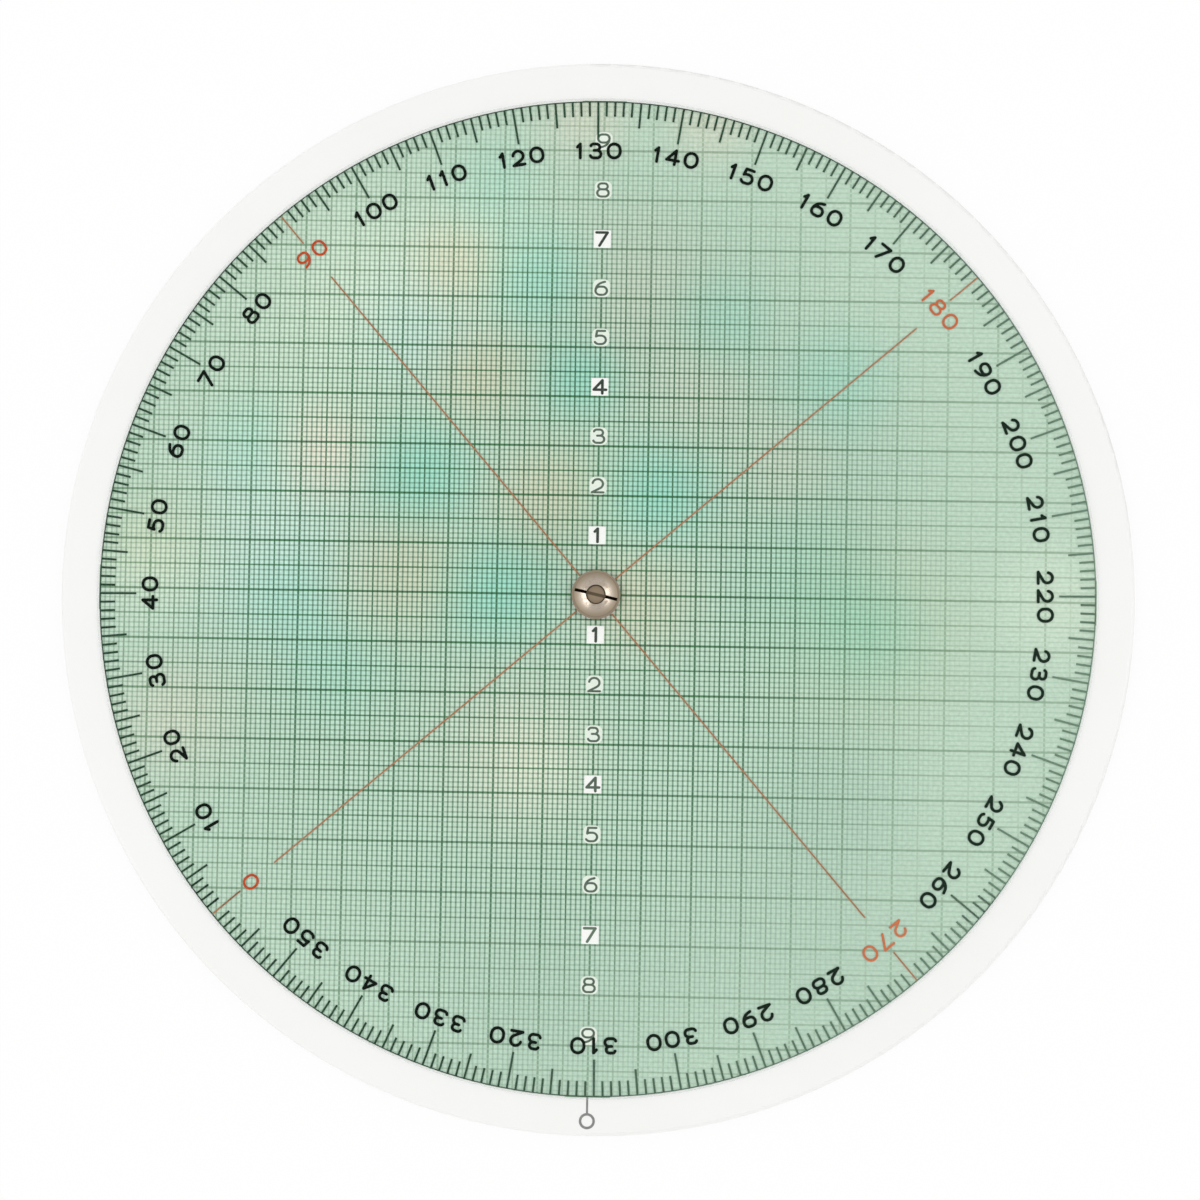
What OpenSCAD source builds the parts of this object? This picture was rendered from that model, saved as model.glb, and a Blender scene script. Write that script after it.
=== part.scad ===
// Nautical circular slide rule. The front is a plotting board: a white base disc printed with a
// centimetre grid lies under a clear disc that turns and is divided into degrees. The back is the
// slide rule: a second disc turns inside a log scale printed on the base disc. One slotted binding
// post and its screw hold the stack. The origin is on the pivot axis at the face that the rule
// rests on, +Z comes out of the plotting face and +Y points to the top of the grid.

/* [Base disc] */
// Diameter of the white base disc
base_d = 216; // [208:1:260]
// Thickness of the base disc
base_t = 2; // [1.2:0.1:4]
// Radius of the rounded rim edges
base_edge_r = 0.8; // [0.2:0.1:1.5]

/* [Plotting disc] */
// Diameter of the clear disc that turns over the grid
plot_d = 201; // [160:1:204]
// Thickness of the clear disc
plot_t = 1; // [0.6:0.1:2]
// Chamfer on both edges of the clear disc
plot_chamfer = 0.15; // [0.05:0.05:0.25]
// Degree that stands at the top of the grid in the stored setting
plot_setting = 130.75; // [0:0.25:359.75]

/* [Slide rule disc] */
// Diameter of the disc that turns on the back
rule_d = 170; // [140:1:184]
// Thickness of the slide rule disc
rule_t = 2; // [1.8:0.1:4]
// Chamfer on both edges of the slide rule disc
rule_chamfer = 0.3; // [0.1:0.05:0.5]
// Reading of the fixed scale that the slide's 10 stands against in the stored setting
rule_reading = 15; // [10:0.5:99.5]

/* [Pivot] */
// Diameter of the binding post's barrel, which all the bores run on
barrel_d = 5.5; // [4.6:0.1:6]
// Diameter of the post's slotted head
head_d = 8.7; // [8:0.1:9.6]
// Height of the post's head
head_h = 1.4; // [1.2:0.1:2]
// Height of the straight edge under the head's dome
head_edge_h = 0.35; // [0.2:0.05:0.6]
// Diameter of the turned dimple in the head
dimple_d = 3.9; // [2:0.1:5]
// Depth of the dimple below its lip
dimple_depth = 0.6; // [0.2:0.05:0.75]
// Width of the driver slots in the post and the screw
slot_w = 0.6; // [0.4:0.05:1]
// Depth of the slot in the post's head, below the dimple's lip
slot_depth = 0.8; // [0.5:0.05:0.9]
// Clockwise turn of the post's slot from the level of the grid
slot_turn = 12.5; // [0:0.5:180]
// Diameter of the tapped hole in the post
tapped_d = 3.5; // [2.5:0.1:3.8]
// Diameter of the screw's head
screw_head_d = 9; // [7:0.1:10]
// Thickness of the screw's head
screw_head_t = 0.8; // [0.6:0.05:0.9]
// Depth of the slot in the screw's head
screw_slot_depth = 0.4; // [0.2:0.05:0.5]
// Length of the screw's shank
screw_shank_l = 3.4; // [2:0.1:3.8]
// How far the screw's head lies below the resting face
screw_recess = 0.15; // [0.05:0.05:0.2]

/* [Washers] */
// Diameter of the metal washer that shows round the post's head
cap_washer_d = 9.8; // [9.6:0.1:16]
// Thickness of that washer
cap_washer_t = 0.3; // [0.2:0.05:0.6]
// Diameter of the friction washer under the clear disc
front_spacer_d = 9.4; // [8:0.1:9.6]
// Thickness of that washer
front_spacer_t = 0.2; // [0.15:0.05:0.5]
// Diameter of the friction washer behind the base disc
rear_spacer_d = 14; // [8:0.5:30]
// Thickness of that washer
rear_spacer_t = 0.2; // [0.15:0.05:0.5]
// Outer diameter of the wave washer
wave_d = 8.6; // [8:0.1:9]
// Thickness of its strip
wave_t = 0.15; // [0.1:0.01:0.18]
// Height that it is squeezed to
wave_h = 0.4; // [0.3:0.05:0.45]
// Waves round the washer
wave_count = 3; // [2:1:4]

/* [Grid] */
// Spacing of the heavy grid lines
grid_pitch = 10; // [8:1:20]
// Width of the heavy lines
heavy_w = 0.42; // [0.2:0.02:0.6]
// Width of the lines halfway between them
half_w = 0.32; // [0.15:0.01:0.5]
// How far the grid ends inside the edge of the clear disc
grid_margin = 0.4; // [0.2:0.1:4]
// Side of the blank windows for the numbers on the middle line
window = 3.7; // [2:0.1:5]
// Height of a window's middle above its grid line
window_rise = 2; // [1.5:0.1:3]

/* [Degree scale] */
// Gap from the edge of the clear disc to the ring of the scale
ring_inset = 0.4; // [0.2:0.1:3]
// Width of the ring
ring_w = 0.2; // [0.1:0.05:0.8]
// Width of the degree marks
degree_w = 0.4; // [0.2:0.02:0.6]
// Length of a one degree mark, ring included
degree_1 = 3.1; // [2:0.1:4]
// Length of a five degree mark
degree_5 = 5.2; // [4:0.1:6.5]
// Length of a ten degree mark
degree_10 = 7.4; // [6:0.1:9]
// Width of the red quadrant lines
quadrant_w = 0.3; // [0.15:0.01:0.6]
// Gap in the red lines that holds the numbers
quadrant_gap = 8.8; // [6:0.1:12]

/* [Index mark] */
// Width of the index line on the rim
index_w = 0.4; // [0.2:0.02:0.8]
// Length of the index line
index_l = 2.5; // [1:0.1:2.8]
// Outside diameter of the ring at its end
index_ring_d = 3.2; // [2:0.1:3.4]
// Stroke of that ring
index_ring_w = 0.5; // [0.2:0.05:0.8]

/* [Log scales] */
// Width of the log marks
log_w = 0.25; // [0.15:0.01:0.4]
// Length of the finest marks, ring included
log_fine = 2.6; // [1.5:0.1:3.5]
// Length of the middle marks
log_middle = 3.9; // [2.5:0.1:5]
// Length of the main marks
log_main = 5.4; // [3.5:0.1:7]
// Gap from the edge of the slide rule disc to the ring on either side
log_inset = 0.6; // [0.4:0.1:2]

/* [Clearances] */
// Thickness of a film of printing ink
ink_t = 0.03; // [0.02:0.01:0.04]
// Radial running clearance of the barrel
run_clear = 0.05; // [0.02:0.01:0.1]
// End play of the clear disc
end_play = 0.02; // [0.01:0.01:0.1]
// Clearance round a piece that turns past another
side_clear = 0.3; // [0.1:0.05:1]

/* [Hidden] */

// Heights of the stack, from the resting face up
rule_recess_z = screw_recess + screw_head_t + wave_h;
screw_top_z = screw_recess + screw_head_t;
base_z = rule_t + rear_spacer_t;
base_top_z = base_z + base_t;
plot_z = base_top_z + front_spacer_t;
cap_washer_z = plot_z + plot_t + end_play;
head_z = cap_washer_z + cap_washer_t;
head_top_z = head_z + head_h;

// Radii that the pieces share
bore_r = barrel_d / 2 + run_clear;
recess_r = max(screw_head_d, wave_d) / 2 + side_clear;
grid_r = plot_d / 2 - grid_margin;
ring_r = plot_d / 2 - ring_inset;
slide_ring_r = rule_d / 2 - log_inset;
fixed_ring_r = rule_d / 2 + log_inset;
shank_r = tapped_d / 2 - run_clear;
dome_rise = head_h - head_edge_h;
dome_r = (pow(head_d / 2, 2) + pow(dome_rise, 2)) / (2 * dome_rise);
lip_z = head_top_z - dome_r + sqrt(pow(dome_r, 2) - pow(dimple_d / 2, 2));

// Films of ink that cross lie in layers with a hair of air between them
layer_gap = 0.01;
level_z = base_top_z + ink_t + layer_gap;
// The groove of the sliding scale is deeper than its filling, so the ink never rubs
groove_t = 2 * ink_t;
fill_clear = 0.02;

// A chord shorter than this is left off the grid
least_chord = 4;
// A cut runs this far past the face that it opens
cut = 1;
$fn = 180;
// The thin rings of the scales are cut in sides of this many degrees
ring_step = 1;

// Point at a radius and at a compass angle, clockwise from the top of the grid
function compass(r, a) = [r * sin(a), r * cos(a)];

// Half the angle that a width takes up at a radius
function half_angle(w, r) = w / 2 / r * 180 / PI;

// Outline of one mark of a scale, from its ring at r to its tip. A mark of no length is a point.
function mark(r, tip, a, w) =
    tip == r ? [compass(r, a)]
    : [
        compass(r, a - half_angle(w, r)), compass(tip, a - half_angle(w, tip)),
        compass(tip, a + half_angle(w, tip)), compass(r, a + half_angle(w, r))
    ];

// Toothed outline that a scale's marks make on one side of its ring
function comb(angles, lengths, r, way, w) = [
    for (i = [0 : len(angles) - 1]) each mark(r, r + way * lengths[i], angles[i], w)
];

// Every degree, with no mark at the quadrants, where the red ones stand
degree_angles = [for (i = [0 : 359]) i - plot_setting];
degree_lengths = [
    for (i = [0 : 359])
        i % 90 == 0 ? 0
        : (i % 10 == 0 ? degree_10 : i % 5 == 0 ? degree_5 : degree_1) - ring_w
];

// One decade of log marks from 10 to 100: by fifths to 20, by halves to 50, then by ones
log_values = concat(
    [for (i = [0 : 49]) 10 + i / 5],
    [for (i = [0 : 59]) 20 + i / 2],
    [for (i = [0 : 49]) 50 + i]
);
log_lengths = concat(
    [for (i = [0 : 49]) (i % 5 == 0 ? log_main : log_fine) - ring_w],
    [for (i = [0 : 59]) (i % 10 == 0 ? log_main : i % 2 == 0 ? log_middle : log_fine) - ring_w],
    [for (i = [0 : 49]) (i % 10 == 0 ? log_main : i % 5 == 0 ? log_middle : log_fine) - ring_w]
);
function log_angle(v) = 360 * log(v / 10);
log_angles = [for (v = log_values) log_angle(v)];
slide_angles = [for (v = log_values) log_angle(v) + log_angle(rule_reading)];

// Plain edge of a scale's ring
module ring_edge(r) {
    polygon([for (a = [0 : ring_step : 359]) compass(r, a)]);
}

// Ring with its marks on the inside, or on the outside. Spare widens every line of it.
module ring_marked_inside(r, angles, lengths, w, spare = 0) {
    difference() {
        ring_edge(r + spare);
        polygon(comb(angles, lengths, r - ring_w - spare, -1, w + 2 * spare));
    }
}

module ring_marked_outside(r, angles, lengths, w) {
    difference() {
        polygon(comb(angles, lengths, r + ring_w, 1, w));
        ring_edge(r);
    }
}

// Disc with a bore and a chamfer on both edges
module chamfered_disc(d, t, chamfer, bore) {
    rotate_extrude()
        polygon([
            [bore, 0], [d / 2 - chamfer, 0], [d / 2, chamfer],
            [d / 2, t - chamfer], [d / 2 - chamfer, t], [bore, t]
        ]);
}

// Flat washer that runs on the barrel
module flat_washer(d, t) {
    difference() {
        cylinder(d = d, h = t);
        translate([0, 0, -cut]) cylinder(r = bore_r, h = t + 2 * cut);
    }
}

// Ink strips along Y over the round grid, one for each distance from the middle line
module grid_strips(offsets, w) {
    for (x = offsets) {
        chord = 2 * sqrt(max(0, grid_r * grid_r - x * x));
        if (chord > least_chord) translate([x - w / 2, -chord / 2, 0]) cube([w, chord, ink_t]);
    }
}

// Distances of the heavy lines on both sides of the middle line, and of the lines between them
line_count = floor(grid_r / grid_pitch);
heavy_offsets = [for (k = [-line_count : line_count]) if (k != 0) k * grid_pitch];
half_offsets = [for (k = [-line_count - 1 : line_count]) (k + 0.5) * grid_pitch];

// Middle line of the grid, broken where the numbers stand and at the pivot
module broken_middle_line() {
    difference() {
        translate([-heavy_w / 2, -grid_r, 0]) cube([heavy_w, 2 * grid_r, ink_t]);
        for (k = [-line_count + 1 : line_count - 1])
            if (k != 0)
                translate([-window / 2, k * grid_pitch + window_rise - window / 2, -cut])
                    cube([window, window, ink_t + 2 * cut]);
        pivot_gap();
    }
}

// Room that the middle lines leave for the pivot
module pivot_gap() {
    translate([0, 0, -cut]) cylinder(d = front_spacer_d + 2 * side_clear, h = ink_t + 2 * cut);
}

module base_disc() {
    edge = min(base_edge_r, base_t * 0.45);
    color("whitesmoke")
        translate([0, 0, base_z])
            difference() {
                union() {
                    cylinder(r = base_d / 2 - edge, h = base_t);
                    translate([0, 0, edge]) cylinder(r = base_d / 2, h = base_t - 2 * edge);
                    for (z = [edge, base_t - edge])
                        translate([0, 0, z])
                            rotate_extrude() translate([base_d / 2 - edge, 0]) circle(r = edge);
                }
                translate([0, 0, -cut]) cylinder(r = bore_r, h = base_t + 2 * cut);
            }
}

module grid_heavy_upright() {
    color("seagreen")
        translate([0, 0, base_top_z]) {
            grid_strips(heavy_offsets, heavy_w);
            broken_middle_line();
        }
}

module grid_half_upright() {
    color("mediumseagreen")
        translate([0, 0, base_top_z]) grid_strips(half_offsets, half_w);
}

module grid_heavy_level() {
    color("seagreen")
        translate([0, 0, level_z])
            rotate([0, 0, 90]) {
                grid_strips(heavy_offsets, heavy_w);
                difference() {
                    grid_strips([0], heavy_w);
                    pivot_gap();
                }
            }
}

module grid_half_level() {
    color("mediumseagreen")
        translate([0, 0, level_z]) rotate([0, 0, 90]) grid_strips(half_offsets, half_w);
}

module index_mark() {
    ring_y = -plot_d / 2 - side_clear - index_l - index_ring_d / 2;
    color("gray")
        translate([0, 0, base_top_z]) {
            translate([-index_w / 2, ring_y + index_ring_d / 2, 0]) cube([index_w, index_l, ink_t]);
            translate([0, ring_y, 0])
                difference() {
                    cylinder(d = index_ring_d, h = ink_t);
                    translate([0, 0, -cut])
                        cylinder(d = index_ring_d - 2 * index_ring_w, h = ink_t + 2 * cut);
                }
        }
}

module fixed_log_scale() {
    color("black")
        translate([0, 0, base_z - ink_t])
            linear_extrude(ink_t)
                mirror([1, 0]) ring_marked_outside(fixed_ring_r, log_angles, log_lengths, log_w);
}

module plotting_disc() {
    color("azure", 0.3)
        translate([0, 0, plot_z]) chamfered_disc(plot_d, plot_t, plot_chamfer, bore_r);
}

module degree_scale() {
    color("black")
        translate([0, 0, plot_z - ink_t])
            linear_extrude(ink_t)
                ring_marked_inside(ring_r, degree_angles, degree_lengths, degree_w);
}

module quadrant_lines() {
    start = front_spacer_d / 2 + side_clear;
    tick_start = ring_r - degree_10;
    tick_l = degree_10 - ring_w - 2 * fill_clear;
    color("firebrick")
        translate([0, 0, plot_z - ink_t])
            for (q = [0 : 90 : 270])
                rotate([0, 0, plot_setting - q]) {
                    translate([-quadrant_w / 2, start, 0])
                        cube([quadrant_w, tick_start - quadrant_gap - start, ink_t]);
                    translate([-quadrant_w / 2, tick_start, 0]) cube([quadrant_w, tick_l, ink_t]);
                }
}

module slide_rule_disc() {
    color("white")
        difference() {
            chamfered_disc(rule_d, rule_t, rule_chamfer, bore_r);
            translate([0, 0, -cut]) cylinder(r = recess_r, h = rule_recess_z + cut);
            translate([0, 0, -cut])
                linear_extrude(groove_t + cut)
                    mirror([1, 0])
                        ring_marked_inside(slide_ring_r, slide_angles, log_lengths, log_w, fill_clear);
        }
}

module sliding_log_scale() {
    color("black")
        translate([0, 0, groove_t - ink_t])
            linear_extrude(ink_t)
                mirror([1, 0]) ring_marked_inside(slide_ring_r, slide_angles, log_lengths, log_w);
}

module binding_post() {
    color("silver")
        difference() {
            union() {
                intersection() {
                    translate([0, 0, head_z]) cylinder(d = head_d, h = head_h);
                    translate([0, 0, head_top_z - dome_r]) sphere(r = dome_r);
                }
                translate([0, 0, screw_top_z])
                    cylinder(d = barrel_d, h = head_z - screw_top_z + head_edge_h / 2);
            }
            translate([0, 0, lip_z - dimple_depth]) cylinder(d = dimple_d, h = dimple_depth + cut);
            translate([0, 0, lip_z - slot_depth])
                rotate([0, 0, -slot_turn])
                    translate([-head_d, -slot_w / 2, 0]) cube([2 * head_d, slot_w, slot_depth + cut]);
            translate([0, 0, screw_top_z - cut])
                cylinder(d = tapped_d, h = screw_shank_l + 2 * side_clear + cut);
        }
}

module binding_screw() {
    color("silver")
        difference() {
            union() {
                translate([0, 0, screw_recess]) cylinder(d = screw_head_d, h = screw_head_t);
                translate([0, 0, screw_recess]) cylinder(r = shank_r, h = screw_head_t + screw_shank_l);
            }
            translate([-screw_head_d, -slot_w / 2, screw_recess - cut])
                cube([2 * screw_head_d, slot_w, screw_slot_depth + cut]);
        }
}

module cap_washer() {
    color("silver") translate([0, 0, cap_washer_z]) flat_washer(cap_washer_d, cap_washer_t);
}

module front_spacer() {
    color("ivory") translate([0, 0, base_top_z]) flat_washer(front_spacer_d, front_spacer_t);
}

module rear_spacer() {
    color("ivory") translate([0, 0, rule_t]) flat_washer(rear_spacer_d, rear_spacer_t);
}

// Spring washer: a flat strip bent into waves between the screw's head and the disc's recess
module wave_washer() {
    steps = 72;
    swing = (wave_h - wave_t) / 2 - end_play;
    inner_r = barrel_d / 2 + side_clear / 2;
    function section(a) =
        let (z = screw_top_z + (wave_h - wave_t) / 2 + swing * sin(wave_count * a))
        [
            [inner_r * cos(a), inner_r * sin(a), z], [wave_d / 2 * cos(a), wave_d / 2 * sin(a), z],
            [wave_d / 2 * cos(a), wave_d / 2 * sin(a), z + wave_t],
            [inner_r * cos(a), inner_r * sin(a), z + wave_t]
        ];
    points = [for (i = [0 : steps - 1]) each section(i * 360 / steps)];
    faces = [
        for (i = [0 : steps - 1], s = [0 : 3])
            let (n = (i + 1) % steps, a = 4 * i + s, b = 4 * i + (s + 1) % 4,
                c = 4 * n + (s + 1) % 4, d = 4 * n + s)
            each [[a, b, c], [a, c, d]]
    ];
    color("gainsboro") polyhedron(points, faces);
}

base_disc();
grid_heavy_upright();
grid_half_upright();
grid_heavy_level();
grid_half_level();
index_mark();
fixed_log_scale();
plotting_disc();
degree_scale();
quadrant_lines();
slide_rule_disc();
sliding_log_scale();
binding_post();
binding_screw();
cap_washer();
front_spacer();
rear_spacer();
wave_washer();
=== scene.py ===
"""Looks of a nautical circular slide rule: a white disc printed with a green millimetre grid, under a
clear disc divided into degrees, with a turning log scale on the back. Blender's units are metres, and
sizes written here are millimetres times MM."""
import math

import bmesh
import bpy
from mathutils import Matrix, Vector


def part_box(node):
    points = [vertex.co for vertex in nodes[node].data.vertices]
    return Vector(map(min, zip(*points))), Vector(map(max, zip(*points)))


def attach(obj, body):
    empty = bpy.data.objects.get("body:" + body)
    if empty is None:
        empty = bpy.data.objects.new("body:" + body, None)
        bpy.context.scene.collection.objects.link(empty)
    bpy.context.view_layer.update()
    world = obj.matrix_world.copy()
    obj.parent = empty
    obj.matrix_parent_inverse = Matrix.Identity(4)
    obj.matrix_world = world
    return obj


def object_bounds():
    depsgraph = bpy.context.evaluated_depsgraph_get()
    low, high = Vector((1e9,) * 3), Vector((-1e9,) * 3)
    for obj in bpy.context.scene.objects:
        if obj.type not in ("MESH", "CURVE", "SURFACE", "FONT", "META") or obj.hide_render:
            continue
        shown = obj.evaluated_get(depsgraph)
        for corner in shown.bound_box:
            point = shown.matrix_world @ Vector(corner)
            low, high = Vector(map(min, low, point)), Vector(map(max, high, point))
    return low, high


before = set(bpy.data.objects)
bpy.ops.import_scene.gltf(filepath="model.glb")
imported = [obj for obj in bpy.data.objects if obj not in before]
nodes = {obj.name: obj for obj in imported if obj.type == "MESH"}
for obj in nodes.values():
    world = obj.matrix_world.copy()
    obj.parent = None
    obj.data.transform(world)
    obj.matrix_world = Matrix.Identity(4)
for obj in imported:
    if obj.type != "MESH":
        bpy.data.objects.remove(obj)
cad_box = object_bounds()
MM = 0.001

# Viewpoint of the photograph
CAMERA_PLACE = Vector((10.3, -22.1, 501.2)) * MM
CAMERA_LOOK = Vector((-0.0191, 0.0424, -0.9989))
CAMERA_UP = Vector((-0.0168, 0.9989, 0.0427))
CAMERA_LENS = 74.3

# Levels and radii that the frame gives
BASE_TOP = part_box("base_disc")[1].z
BASE_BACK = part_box("base_disc")[0].z
UPRIGHT_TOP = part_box("grid_heavy_upright")[1].z
LEVEL_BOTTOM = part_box("grid_heavy_level")[0].z
LEVEL_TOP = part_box("grid_heavy_level")[1].z
GRID_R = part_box("grid_heavy_upright")[1].y
DEGREE_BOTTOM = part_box("degree_scale")[0].z
FIXED_LOG_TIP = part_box("fixed_log_scale")[1].y
RULE_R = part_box("slide_rule_disc")[1].x
SPACER_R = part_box("front_spacer")[1].x

# Slot and dimple of the post's head, with a hair's breadth to spare. The slot is painted black as shade.
POST_HEAD_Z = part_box("cap_washer")[1].z
DIMPLE_R = 1.96 * MM
SLOT_W = 0.62 * MM
SLOT_TURN = math.radians(12.5)
SLOT_ACROSS = (math.sin(SLOT_TURN), math.cos(SLOT_TURN), 0)

# The metal of the pivot is bright within the first radius and dull beyond the second. Between two
# radii the dull brown of the dimple darkens to a ring of painted shade under its lip, the lathe left
# rings at a pitch, and only bare metal has gloss.
RUBBED_REACH = (2.6 * MM, 4.3 * MM)
DIMPLE_SHADE_REACH = (0.82 * DIMPLE_R, 0.95 * DIMPLE_R)
RING_PITCH = 0.16 * MM
BARE_GLOSS = 0.5

# Edge of the clear disc: its faces have normals that rise less than the first value, and they show white by
# the second, a share
EDGE_STEEPNESS = 0.9
EDGE_FROST = 0.25

# Settings that the scales stand at, clockwise from the top of the grid
PLOT_SETTING = 130.75
RULE_READING = 15

# Print of the grid
GRID_PITCH = 10 * MM
FINE_PITCH = 1 * MM
FINE_UPRIGHT_WIDTH = 0.34 * MM
FINE_LEVEL_WIDTH = 0.3 * MM
FILM = 0.02 * MM
TINT_GAP = 0.3 * MM
TINT_SIDES = 360
INDEX_WIDTH = 0.4 * MM

# Numbers of the grid and their blank windows
NUMBER_RISE = 2 * MM
WINDOW_X = 3.45 * MM
WINDOW_Y = 3.6 * MM
WINDOW_CORNER = 1.1 * MM
CORNER_STEPS = 6
WINDOW_LIFT = 0.005 * MM
NUMBER_LIFT = 1.4 * FILM
GRID_NUMBER_HEIGHT = 2.67 * MM
GRID_NUMBER_SPREAD = 1.08
OPEN_PEN = 0.43 * MM
BOXED_PEN = 0.52 * MM
BOXED_NUMBERS = (1, 4, 7)

# Numbers of the degree scale
DEGREE_NUMBER_HEIGHT = 2.85 * MM
DEGREE_NUMBER_R = 89.95 * MM
DEGREE_PEN = 0.6 * MM
QUADRANT_PEN = 0.48 * MM

# Numbers of the log scales, the fixed ones outside their marks and the sliding ones inside the rim
LOG_NUMBER_HEIGHT = 2.3 * MM
LOG_PEN = 0.34 * MM
LOG_VALUES = (*range(10, 20), *range(20, 50, 5), *range(50, 100, 10))
FIXED_NUMBER_R = FIXED_LOG_TIP + 2.6 * MM
SLIDING_NUMBER_R = RULE_R - 8.6 * MM


# Helpers of the meshes

def finish_mesh(name, bm, material, body):
    """Closes a bmesh into a piece at the origin that rides on a body."""
    bmesh.ops.recalc_face_normals(bm, faces=bm.faces)
    mesh = bpy.data.meshes.new(name)
    bm.to_mesh(mesh)
    bm.free()
    mesh.materials.append(material)
    piece = bpy.data.objects.new(name, mesh)
    bpy.context.scene.collection.objects.link(piece)
    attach(piece, body)


def lathe(profile, steps):
    """Turns a closed outline of (radius, height) points round the pivot."""
    bm = bmesh.new()
    points = [bm.verts.new((r, 0, z)) for r, z in profile]
    rim = [bm.edges.new((points[i - 1], points[i])) for i in range(len(points))]
    bmesh.ops.spin(
        bm, geom=points + rim, cent=(0, 0, 0), axis=(0, 0, 1),
        angle=math.tau, steps=steps, use_merge=True,
    )
    return bm


def strip(bm, x, y, length_x, length_y, low, high, corner=0):
    """Adds a flat film of ink with its middle at x and y, and with corners of some radius."""
    middle = Matrix.Translation((x, y, (low + high) / 2))
    size = Matrix.Diagonal((length_x, length_y, high - low, 1))
    verts = bmesh.ops.create_cube(bm, size=1, matrix=middle @ size)["verts"]
    if corner:
        edges = {e for v in verts for e in v.link_edges if e.verts[0].co.xy == e.verts[1].co.xy}
        bmesh.ops.bevel(
            bm, geom=list(edges), offset=corner, segments=CORNER_STEPS, profile=0.5, affect="EDGES",
            material=-1,
        )


# Numerals, drawn with a round pen in the manner of an engraver's stencil. A digit is one unit high along
# the middle of its strokes. A stroke is a start, a heading in degrees and its moves: a number is a
# straight run, and a pair is the radius of an arc and its turn, positive to the left.
SIX = (
    ((0, 0.31), 90, ((0.66, -75), 0.17)),
    ((0, 0.31), 90, ((0.31, -90), 0.18, (0.31, -180), 0.18, (0.31, -90))),
)
DIGITS = {
    "0": (((0, 0.43), 90, (0.14, (0.43, -180), 0.14, (0.43, -180))),),
    "1": (((0.28, 0), 90, (1,)), ((0.28, 1), 228, (0.30,))),
    "2": (((0.045, 0.7025), 80, ((0.36, -230.5), 0.663)), ((0, 0), 0, (0.80,))),
    "3": (
        ((0.0727, 0.8618), 70, ((0.21, -70), 0.20, (0.23, -180), 0.17)),
        ((0.30, 0.54), 0, (0.22, (0.27, -180), 0.25, (0.25, -70))),
    ),
    "4": (((0.60, 0), 90, (1,)), ((0.60, 1), 230.2, (0.937,)), ((0, 0.28), 0, (0.86,))),
    "5": (
        ((0.72, 1), 180, (0.56,)),
        ((0.16, 1), 261.6, (0.44,)),
        ((0.096, 0.5651), 40, ((0.32, -40), 0.16, (0.32, -180), 0.18, (0.30, -60))),
    ),
    "6": SIX,
    "7": (((0, 1), 0, (0.78,)), ((0.78, 1), 240.75, (1.146,))),
    "8": (
        ((0, 0.275), 90, ((0.275, -90), 0.25, (0.275, -180), 0.25, (0.275, -90))),
        ((0.07, 0.775), 90, ((0.225, -90), 0.21, (0.225, -180), 0.21, (0.225, -90))),
    ),
    "9": tuple(((0.80 - x, 1 - y), heading + 180, moves) for (x, y), heading, moves in SIX),
}
DIGIT_WIDTH = 0.84
ONE_WIDTH = 0.50
DIGIT_GAP = 0.46
ARC_STEP = 15
STROKE_RISE = 0.02

# Sides of a stroke's round end, and shares of the pen's width: ends nearer than this close a ring, and
# points nearer than this are merged
END_STEPS = 6
RING_SHARE = 0.25
MERGE_SHARE = 0.02


def pen_stroke(bm, start, heading, moves, pen, level):
    """Draws one stroke as a flat ribbon with round ends, or as a ring where it ends at its start."""
    drawn = len(bm.verts)
    angle = math.radians(heading)
    begin = place = Vector((*start, level))
    right = Vector((math.sin(angle), -math.cos(angle), 0))
    tip = [bm.verts.new(place + right * side) for side in (-pen / 2, 0, pen / 2)]
    nib = [bm.edges.new(tip[:2]), bm.edges.new(tip[1:])]
    outer = [(nib[0], place, 1)]
    for move in moves:
        along = Vector((math.cos(angle), math.sin(angle), 0))
        if isinstance(move, tuple):
            radius, turn = move[0], math.radians(move[1])
            centre = place + math.copysign(radius, turn) * Vector((-along.y, along.x, 0))
            steps = math.ceil(abs(move[1]) / ARC_STEP)
            swept = bmesh.ops.spin(
                bm, geom=nib, cent=centre, axis=(0, 0, 1), angle=turn, steps=steps,
            )["geom_last"]
            place = centre + Matrix.Rotation(turn, 3, "Z") @ (place - centre)
            angle += turn
        else:
            swept = bmesh.ops.extrude_edge_only(bm, edges=nib)["geom"]
            moved = [v for v in swept if isinstance(v, bmesh.types.BMVert)]
            bmesh.ops.translate(bm, verts=moved, vec=along * move)
            place = place + along * move
        nib = [e for e in swept if isinstance(e, bmesh.types.BMEdge)]
    if (place - begin).length > pen * RING_SHARE:
        left = Vector((-math.sin(angle), math.cos(angle), 0))
        last = max(nib, key=lambda e: sum(v.co.dot(left) for v in e.verts))
        outer.append((last, place, -1))
        for edge, centre, way in outer:
            bmesh.ops.spin(
                bm, geom=[edge], cent=centre, axis=(0, 0, 1), angle=way * math.pi, steps=END_STEPS,
            )
    bm.verts.ensure_lookup_table()
    bmesh.ops.remove_doubles(bm, verts=bm.verts[drawn:], dist=pen * MERGE_SHARE)


def digit_mesh(digit, pen):
    """One digit as films one unit thick, with the pen's width as a share of its height. Each stroke lies
    a little above the one before it."""
    bm = bmesh.new()
    for i, (start, heading, moves) in enumerate(DIGITS[digit]):
        pen_stroke(bm, start, heading, moves, pen, i * STROKE_RISE)
    raised = bmesh.ops.extrude_face_region(bm, geom=bm.faces[:], use_keep_orig=True)["geom"]
    moved = [v for v in raised if isinstance(v, bmesh.types.BMVert)]
    bmesh.ops.translate(bm, verts=moved, vec=(0, 0, 1))
    mesh = bpy.data.meshes.new("digit")
    bm.to_mesh(mesh)
    bm.free()
    return mesh


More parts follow.
